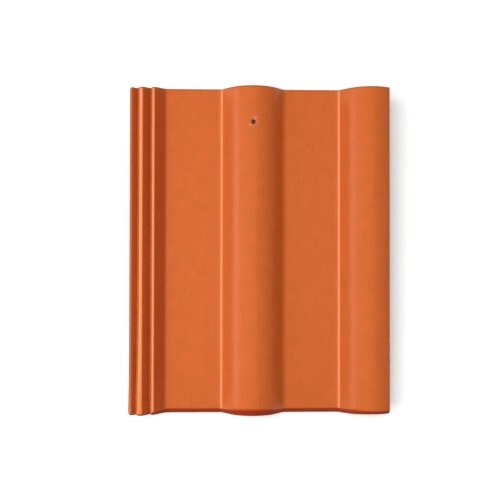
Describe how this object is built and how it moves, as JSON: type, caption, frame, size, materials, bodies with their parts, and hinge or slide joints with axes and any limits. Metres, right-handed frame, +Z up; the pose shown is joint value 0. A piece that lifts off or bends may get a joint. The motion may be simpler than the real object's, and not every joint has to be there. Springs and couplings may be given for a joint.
{
  "type": "interlocking roof tile",
  "caption": "Double-roll interlocking concrete roof tile with side locks, hanging nibs, foot ribs, rounded foot nose and a nail hole in its crown.",
  "frame": {"origin": "centre of the tile's bounding box in X and Y, at the floor in Z", "axes": "+X runs from the underlock to the overlock, +Y points up the roof to the tile's head, +Z is up, with the weathered face upwards. The tile is stored as it lies on a level floor, on its nibs and foot ribs, so its own plane is turned about X by 1.65 degrees, head up."},
  "size_m": [0.33, 0.4148, 0.0565],
  "materials": {
    "coated_concrete": "smooth satin terracotta-red coating on the weathered face, bare pigmented concrete below"
  },
  "bodies": {
    "root": {"roof_tile": "coated_concrete"}
  },
  "joints": []
}
